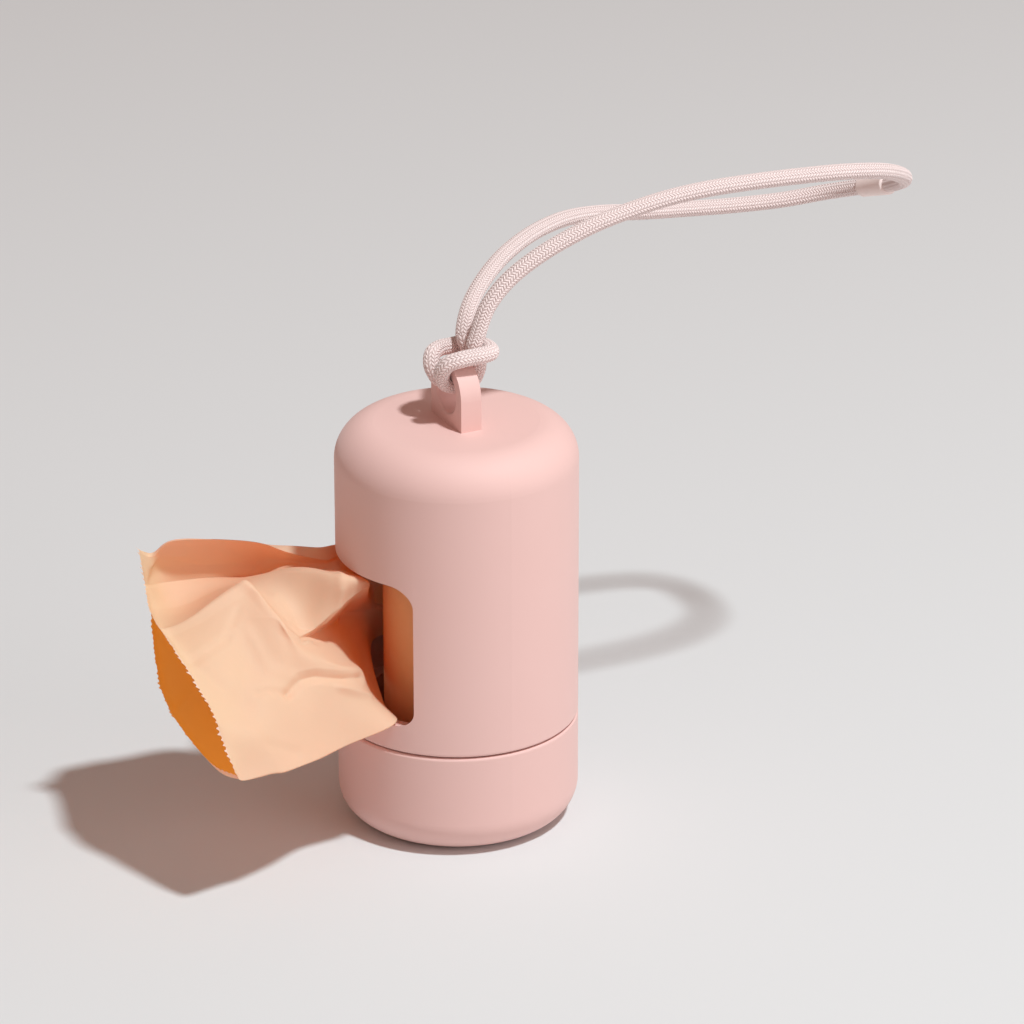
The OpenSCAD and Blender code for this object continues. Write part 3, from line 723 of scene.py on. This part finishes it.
def round_tube(points, u):
    """A point round one row of the tube. The columns close on themselves."""
    i = int(u) % columns
    p, a, b, q = (Vector(points[k % columns]) for k in (i - 1, i, i + 1, i + 2))
    leave = (0.5 * (b - p)).lerp(b - a, FOLD[i])
    arrive = (0.5 * (q - a)).lerp(b - a, FOLD[(i + 1) % columns])
    return curve_between(a, b, leave, arrive, u - int(u))


def film_point(u, v):
    """A point of the film: u columns round the tube and v rows along it."""
    i = min(int(v), rows - 1)
    p, a, b, q = (round_tube(FILM[max(0, min(rows, k))], u) for k in (i - 1, i, i + 1, i + 2))
    return curve_between(a, b, 0.5 * (b - p), 0.5 * (q - a), v - i)


ROUND_STEPS, ALONG_STEPS = 32, 12
edge = [film_point(n / ROUND_STEPS % columns, 0) for n in range(columns * ROUND_STEPS + 1)]
edge_run = running_lengths(edge)
print(f"torn edge {edge_run[-1]:.0f} mm round")

# %% [markdown]
# ## Creases and the torn edge
#
# Thin film keeps sharp creases where it was folded and pulled, and its torn edge is a row of
# small nibs from the perforation. A bump in the material could suggest both, but real shape also
# shows against the light and from the side. A crease follows a line of columns and rows, and
# lifts or sinks the film beside it like a tent. The nibs are a wave along the edge.

# %% Choose the creases
# Each has its columns and rows, its height and its width to either side, in millimetres.
CREASES = [
    ([(5, 3.05), (5, 2), (5, 1)], 0.5, 2),
    ([(5, 3.05), (5.1, 3.5), (5.5, 4), (5.9, 4.5), (6, 5)], 0.45, 1.6),
    ([(3.3, 5.9), (4, 6), (4.5, 6), (5, 5.95), (5.3, 5.6)], 0.5, 1.5),
    ([(6.3, 5.15), (6.45, 5.3)], 0.9, 0.8),
    ([(8.3, 3.75), (8, 4.2), (8, 4.65), (8.25, 5.4), (8.3, 6)], -0.9, 1.6),
    ([(7.9, 2.8), (7.95, 3.1), (8.3, 3.75)], -0.3, 1.2),
    ([(8.45, 5.3), (8.7, 5.7), (9, 6.1)], 0.6, 1.4),
    ([(6.4, 1.1), (6.1, 2.55)], -0.22, 1.6),
    ([(6.1, 2.55), (5.6, 2.9)], -0.15, 1.2),
    ([(6.4, 1.1), (7.2, 1.6)], -0.15, 1.4),
    ([(9.3, 2.6), (9.7, 3.6)], -0.2, 1.6),
    ([(6.2, 3.1), (7.3, 3.4), (8, 4.2)], 0.2, 1.8),
    ([(4.6, 4.2), (5.2, 4.7)], 0.3, 1.4),
    ([(2.6, 1.2), (2.2, 2.6), (2.4, 4)], -0.3, 1.8),
    ([(1.6, 1.2), (1.7, 2.4)], 0.25, 1.5),
    ([(12, 1), (12.6, 3), (12.2, 4.6)], 0.4, 2),
    ([(13.3, 1.4), (13, 3.2)], -0.35, 1.8),
    ([(11.3, 2.2), (11.6, 3.8)], -0.35, 1.8),
    ([(14.2, 2), (0.2, 3.4)], 0.3, 1.6),
]
CREASE_REACH, CREASE_POWER = 0.6, 1.3


def lines_of(crease):
    """A crease as straight stretches in space, with the columns and rows that it may reach."""
    points, height, width = crease
    at = [film_point(u, v) for u, v in points]
    reach = [(min(c) - CREASE_REACH, max(c) + CREASE_REACH) for c in zip(*points)]
    return list(zip(at, at[1:])), reach, height, width


CREASE_LINES = [lines_of(crease) for crease in CREASES]
print(len(CREASES), "creases")


# %% Lift the film at a crease, and tear its edge
NIB_EVERY, NIB, NIB_UNEVEN = 1.05, 0.5, 0.7
TAB_AT, TAB, TAB_WIDTH = 0.9, 1.3, 0.08
EDGE_WAVER = 0.3


def crease_height(u, v, place):
    """How far the creases lift the film at a place, in millimetres."""
    total = 0.0
    for stretches, ((u0, u1), (v0, v1)), height, width in CREASE_LINES:
        if u0 < u < u1 and v0 < v < v1:
            near = 1.0
            for a, b in stretches:
                t = max(0.0, min(1.0, (place - a).dot(b - a) / (b - a).length_squared))
                near = min(near, (place - a.lerp(b, t)).length / width)
            total += height * (1 - near) ** CREASE_POWER
    return total


def nib_at(u):
    """How far the torn edge stands out at a column, in millimetres."""
    nibs = round(edge_run[-1] / NIB_EVERY)
    turns = 2 * math.pi * nibs * edge_run[round(u * ROUND_STEPS)] / edge_run[-1]
    rough = noise.noise(Vector((5.3 * u, 2.4, 0))) + 0.5 * noise.noise(Vector((17.3 * u, 7.6, 0)))
    tab = TAB * math.exp(-((u - TAB_AT) / TAB_WIDTH) ** 2)
    return NIB * max(0.0, math.cos(turns)) * (1 + NIB_UNEVEN * rough) + EDGE_WAVER * rough + tab


print("the torn edge has", round(edge_run[-1] / NIB_EVERY), "nibs")

# %% Put creases, ripple and torn edge on the surface
RIPPLE, RIPPLE_SIZE, RIPPLE_UNTIL = 0.16, 7, 6.5
SLOPE_STEP, EDGE_STEP = 0.02, 0.15
UNMOVED = 1e-4


def dressed_point(u, v):
    """The film with its creases, its slight ripple and its torn edge, in millimetres."""
    place = film_point(u, v)
    if v == 0:
        return place + nib_at(u) * (place - film_point(u, EDGE_STEP)).normalized()
    fade = max(0.0, min(1.0, v, RIPPLE_UNTIL - v))
    lift = crease_height(u, v, place) + RIPPLE * noise.noise(place / RIPPLE_SIZE) * fade
    if abs(lift) < UNMOVED:
        return place
    across = (film_point((u + SLOPE_STEP) % columns, v)
              - film_point((u - SLOPE_STEP) % columns, v))
    along = film_point(u, v + SLOPE_STEP) - film_point(u, v - SLOPE_STEP)
    return place + lift * across.cross(along).normalized()


bm = bent_grid(columns * ROUND_STEPS, rows * ALONG_STEPS,
               lambda n, k: dressed_point(n / ROUND_STEPS, k / ALONG_STEPS) * MM,
               "film", lambda n, k: (n / ROUND_STEPS / columns, k / ALONG_STEPS / rows))
film = finished("bag_film", bm)

# %% [markdown]
# ## The film's finish
#
# The film is dyed right through and lets light pass, so it glows a deep orange where the lamp is
# behind it. Subsurface scattering would need a thickness, and this sheet has none, so a
# Translucent shader is mixed in. Its inner side is painted a deeper orange than its outer side.
# This is painted shade for the inside of the tube, which gets only light let through the other
# layer. A thin band along the torn edge is nearly white. The edge is found by the UV map, which
# counts from the mouth to the roll in V.

# %% Colour the film's two sides and its torn edge
FILM_THIN, FILM_THICK = (0.98, 0.80, 0.56), (0.99, 0.85, 0.615)
# The inner side's colour is painted shade: a deeper orange for the shade inside the tube.
FILM_INSIDE_SHADE, FILM_RIM = (0.97, 0.74, 0.41), (1, 0.93, 0.86)
RIM_STARTS, RIM_FULL = 0.012, 0.003
film_mat, tree, shader, out = material("bag_film", (0.93, 0.60, 0.38), Roughness=0.6,
                                       Specular_IOR_Level=0.3)
height, tint = crinkled(tree, FILM_THIN, FILM_THICK, size_mm=7.0, sharpness=0.5)
flat_uv = node(tree, "ShaderNodeUVMap", uv_map="film")
down = node(tree, "ShaderNodeSeparateXYZ")
tree.links.new(flat_uv.outputs[0], down.inputs[0])
# A thin band along the torn edge, where V is smallest, is nearly white.
rim = node(tree, "ShaderNodeMapRange", From_Min=RIM_STARTS, From_Max=RIM_FULL)
tree.links.new(down.outputs["Y"], rim.inputs["Value"])
side = node(tree, "ShaderNodeNewGeometry")
# Backfacing gives the inner side its painted shade.
sides = mix_color(tree, side.outputs["Backfacing"], tint, FILM_INSIDE_SHADE)
tree.links.new(mix_color(tree, rim.outputs[0], sides, FILM_RIM), shader.inputs["Base Color"])
tilted = bump_from(tree, height, shader, strength=0.25, depth=0.3 * MM)

# %% Let light through the film
GLOW, GLOW_SHARE = (1, 0.34, 0.025, 1), 0.42
glow = node(tree, "ShaderNodeBsdfTranslucent", Color=GLOW)
tree.links.new(tilted, glow.inputs["Normal"])
through = node(tree, "ShaderNodeMixShader")
through.inputs[0].default_value = GLOW_SHARE
tree.links.new(shader.outputs[0], through.inputs[1])
tree.links.new(glow.outputs[0], through.inputs[2])
tree.links.new(through.outputs[0], out.inputs["Surface"])
film.data.materials.append(film_mat)
print("the film's glow has a share of", GLOW_SHARE)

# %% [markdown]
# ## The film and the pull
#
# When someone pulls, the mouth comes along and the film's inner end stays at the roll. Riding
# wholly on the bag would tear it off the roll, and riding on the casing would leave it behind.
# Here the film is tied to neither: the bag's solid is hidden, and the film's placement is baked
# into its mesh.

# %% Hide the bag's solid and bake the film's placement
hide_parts("drawn_bag")
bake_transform(film)
film_area = sum(face.area for face in film.data.polygons)
print(f"film {film_area * 1e4:.1f} cm2")

# %% [markdown]
# ## The sizes, and the end
#
# The box round the dressed dispenser is written down beside the box round the bare solids, so
# that it is easy to see how far the looks reach past them. The last call goes through all pieces
# and closes the scene.

# %% Finish
bpy.context.view_layer.update()
